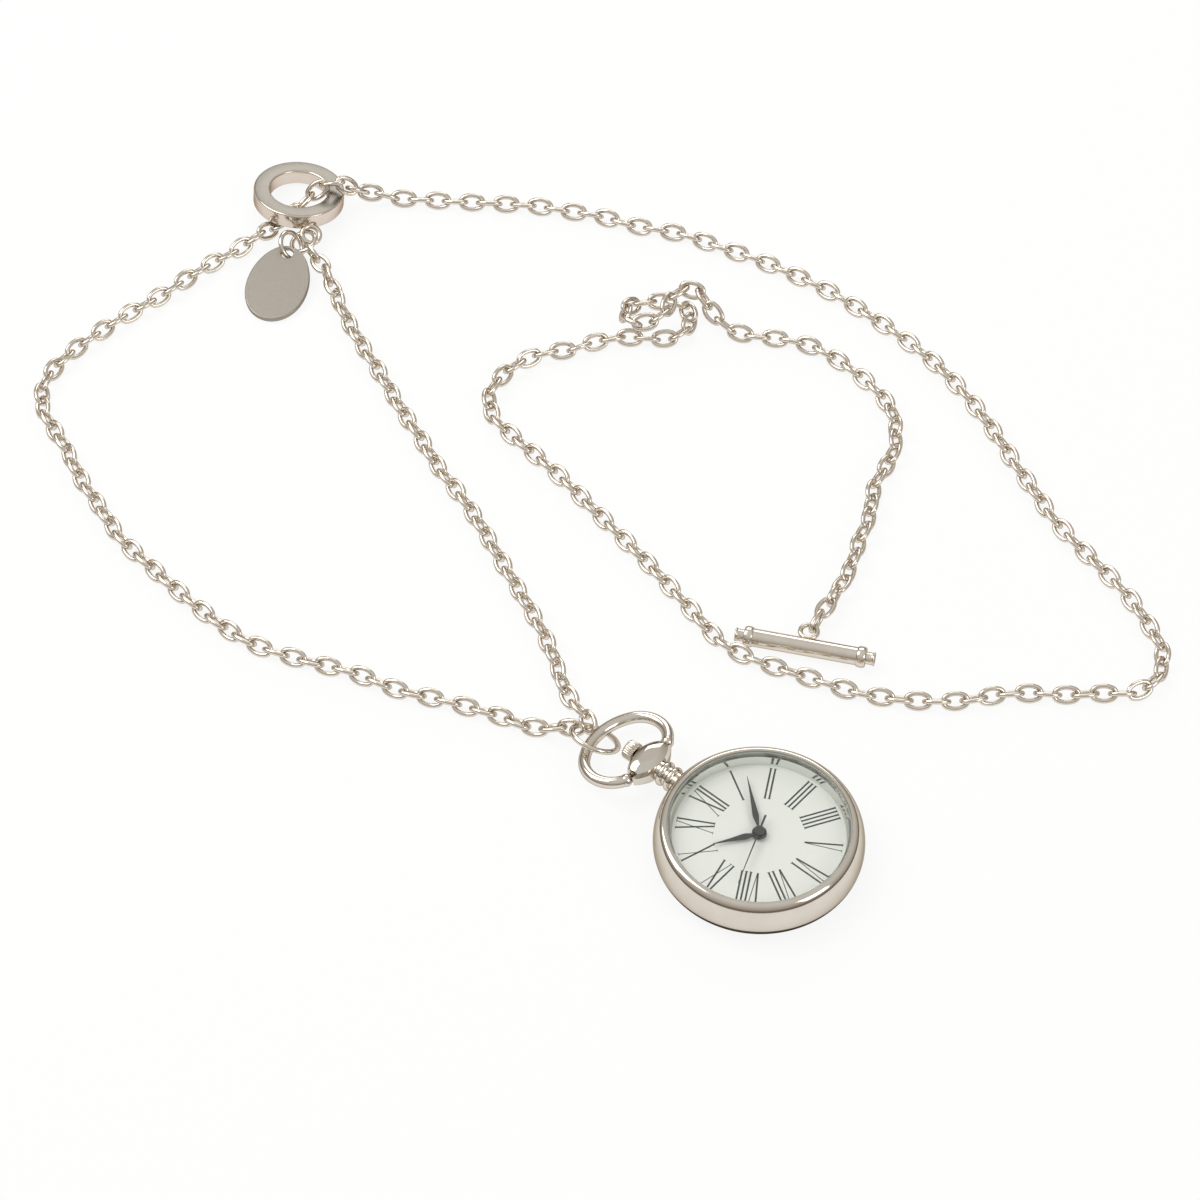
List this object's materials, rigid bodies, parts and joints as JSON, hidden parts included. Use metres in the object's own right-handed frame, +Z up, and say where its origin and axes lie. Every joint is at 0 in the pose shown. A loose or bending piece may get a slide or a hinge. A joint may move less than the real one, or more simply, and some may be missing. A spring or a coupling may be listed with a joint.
{
  "type": "pocket watch chain",
  "caption": "Oval-link chain with a toggle bar, toggle ring and oval tag, looped to the bow of a polished round pendant watch with white dial and Roman hour marks.",
  "frame": {"origin": "On the table, at the centre of the flat of the watch case back", "axes": "+X to the right along the table, +Y away from the viewer towards the toggle ring, +Z up out of the dial"},
  "size_m": [0.2155, 0.1882, 0.0088],
  "materials": {
    "polished_steel": "polished",
    "steel": "satin",
    "nickel": "polished",
    "satin_nickel": "satin",
    "crystal": "clear",
    "dial_white": "matt",
    "black_paint": "gloss",
    "brass": "polished",
    "gasket": "matt",
    "holder_plastic": "matt",
    "board_green": "satin",
    "copper_wire": "satin"
  },
  "bodies": {
    "bow_ring": {"bow_ring": "nickel"},
    "bow": {"bow": "polished_steel"},
    "watch": {"case_body": "polished_steel", "case_back": "steel", "back_gasket": "gasket", "crystal": "crystal", "crystal_gasket": "gasket", "dial_flange": "polished_steel", "dial": "dial_white", "movement_holder": "holder_plastic", "main_plate": "brass", "train_bridge": "brass", "bridge_screws": "steel", "battery": "steel", "battery_strap": "steel", "drive_coil": "copper_wire", "motor_can": "steel", "circuit_board": "board_green", "pendant_neck": "polished_steel", "pendant_head": "polished_steel"},
    "crown": {"crown": "polished_steel", "setting_stem": "steel"},
    "minute": {"minute_hand": "black_paint", "centre_wheel": "brass"},
    "hour": {"hour_hand": "black_paint", "hour_wheel": "brass"},
    "second": {"second_hand": "black_paint", "second_wheel": "brass"},
    "third": {"third_wheel": "brass"},
    "motion": {"minute_wheel": "brass"},
    "loop_right": {"loop_right_1": "nickel", "loop_right_2": "nickel", "joint_ring": "nickel", "toggle_ring": "nickel", "ring_eye": "nickel"},
    "tag": {"tag": "satin_nickel", "tag_ring": "nickel"},
    "loop_left_1": {"loop_left_1": "nickel"},
    "loop_left_2": {"loop_left_2": "nickel", "loop_left_3": "nickel"},
    "loop_left_4": {"loop_left_4": "nickel"},
    "arm_1": {"arm_1": "nickel"},
    "arm_2": {"arm_2": "nickel"},
    "arm_3": {"arm_3": "nickel"},
    "arm_4": {"arm_4": "nickel"},
    "arm_5": {"arm_5": "nickel"},
    "arm_6": {"arm_6": "nickel"},
    "arm_7": {"arm_7": "nickel"},
    "arm_8": {"arm_8": "nickel"},
    "arm_9": {"arm_9": "nickel"},
    "arm_10": {"arm_10": "nickel"},
    "bar": {"bar_body": "nickel", "bar_collars": "nickel", "bar_buttons": "nickel", "bar_eye": "nickel"}
  },
  "joints": [
    {"name": "loop_swing", "type": "hinge", "parent": "bow_ring", "child": "loop_right", "pos_m": [-0.02989, 0.0269, 0.00158], "axis": [0, 0, 1], "range_deg": [-6, 1.5]},
    {"name": "left_swing", "type": "hinge", "parent": "bow_ring", "child": "loop_left_1", "pos_m": [-0.032, 0.02602, 0.00289], "axis": [0, 0, 1], "range_deg": [-6.56, 1.87]},
    {"name": "left_fold", "type": "hinge", "parent": "loop_left_1", "child": "loop_left_2", "pos_m": [-0.09305, 0.04677, 0.00158], "axis": [0, 0, 1], "range_deg": [-0.4, 0.69]},
    {"name": "left_turn", "type": "hinge", "parent": "loop_left_2", "child": "loop_left_4", "pos_m": [-0.11955, 0.13053, 0.00158], "axis": [0, 0, 1], "range_deg": [-0.428, 0.332]},
    {"name": "bow_swing", "type": "hinge", "parent": "bow_ring", "child": "bow", "pos_m": [-0.02957, 0.02361, 0.003], "axis": [0, 0, 1], "range_deg": [-12, 6]},
    {"name": "watch_lift", "type": "hinge", "parent": "bow", "child": "watch", "pos_m": [-0.01992, 0.01732, 0.0046], "axis": [-0.6561, -0.7547, 0], "range_deg": [0, 90]},
    {"name": "crown_turn", "type": "hinge", "parent": "watch", "child": "crown", "pos_m": [-0.02264, 0.01968, 0.0046], "axis": [-0.7547, 0.6561, 0], "continuous": true},
    {"name": "minute_turn", "type": "hinge", "parent": "watch", "child": "minute", "pos_m": [0, 0, 0], "axis": [0, 0, -1], "continuous": true},
    {"name": "hour_turn", "type": "hinge", "parent": "watch", "child": "hour", "pos_m": [0, 0, 0], "axis": [0, 0, -1], "continuous": true},
    {"name": "third_turn", "type": "hinge", "parent": "watch", "child": "third", "pos_m": [-0.00028, 0.00399, 0], "axis": [0, 0, -1], "continuous": true},
    {"name": "second_turn", "type": "hinge", "parent": "watch", "child": "second", "pos_m": [0, 0, 0], "axis": [0, 0, -1], "continuous": true},
    {"name": "motion_turn", "type": "hinge", "parent": "watch", "child": "motion", "pos_m": [-0.00265, -0.00091, 0], "axis": [0, 0, -1], "continuous": true},
    {"name": "tag_lift", "type": "hinge", "parent": "loop_right", "child": "tag", "pos_m": [-0.08837, 0.14595, 0.00152], "axis": [-0.8758, 0.3443, -0.3381], "range_deg": [0, 12]},
    {"name": "arm_1_bend", "type": "hinge", "parent": "loop_left_4", "child": "arm_1", "pos_m": [-0.07288, 0.16076, 0.00277], "axis": [0, 0, 1], "range_deg": [-4, 10]},
    {"name": "arm_2_bend", "type": "hinge", "parent": "arm_1", "child": "arm_2", "pos_m": [-0.02217, 0.15325, 0.00158], "axis": [0, 0, -1], "range_deg": [-6, 6]},
    {"name": "arm_3_bend", "type": "hinge", "parent": "arm_2", "child": "arm_3", "pos_m": [0.02337, 0.1299, 0.00158], "axis": [0, 0, 1], "range_deg": [0, 10]},
    {"name": "arm_4_bend", "type": "hinge", "parent": "arm_3", "child": "arm_4", "pos_m": [0.04816, 0.09726, 0.00158], "axis": [0, 0, 1], "range_deg": [0, 10]},
    {"name": "arm_5_bend", "type": "hinge", "parent": "arm_4", "child": "arm_5", "pos_m": [0.07182, 0.05538, 0.00158], "axis": [0, 0, 1], "range_deg": [-3, 4]},
    {"name": "arm_6_bend", "type": "hinge", "parent": "arm_5", "child": "arm_6", "pos_m": [0.05911, 0.03469, 0.00158], "axis": [0, 0, -1], "range_deg": [-4, 3]},
    {"name": "arm_7_bend", "type": "hinge", "parent": "arm_6", "child": "arm_7", "pos_m": [0.00538, 0.04061, 0.00158], "axis": [0, 0, 1], "range_deg": [-5, 5]},
    {"name": "arm_8_bend", "type": "hinge", "parent": "arm_7", "child": "arm_8", "pos_m": [-0.02673, 0.07538, 0.00158], "axis": [0, 0, 1], "range_deg": [0, 12]},
    {"name": "arm_9_bend", "type": "hinge", "parent": "arm_8", "child": "arm_9", "pos_m": [-0.03741, 0.11928, 0.00158], "axis": [0, 0, 1], "range_deg": [0, 8]},
    {"name": "arm_10_bend", "type": "hinge", "parent": "arm_9", "child": "arm_10", "pos_m": [0.00082, 0.1235, 0.00151], "axis": [0, 0, 1], "range_deg": [0, 12]},
    {"name": "bar_turn", "type": "hinge", "parent": "arm_10", "child": "bar", "pos_m": [0.01109, 0.05012, 0.002], "axis": [0, 0, 1], "range_deg": [-12, 0]}
  ],
  "couplings": [
    {"joint": "left_swing", "follows": "loop_swing", "ratio": 1.0438},
    {"joint": "left_fold", "follows": "loop_swing", "ratio": -0.065181},
    {"joint": "left_turn", "follows": "loop_swing", "ratio": 0.021342},
    {"joint": "hour_turn", "follows": "minute_turn", "ratio": 0.083333},
    {"joint": "third_turn", "follows": "minute_turn", "ratio": -8},
    {"joint": "second_turn", "follows": "minute_turn", "ratio": 60},
    {"joint": "motion_turn", "follows": "minute_turn", "ratio": -0.33333}
  ]
}
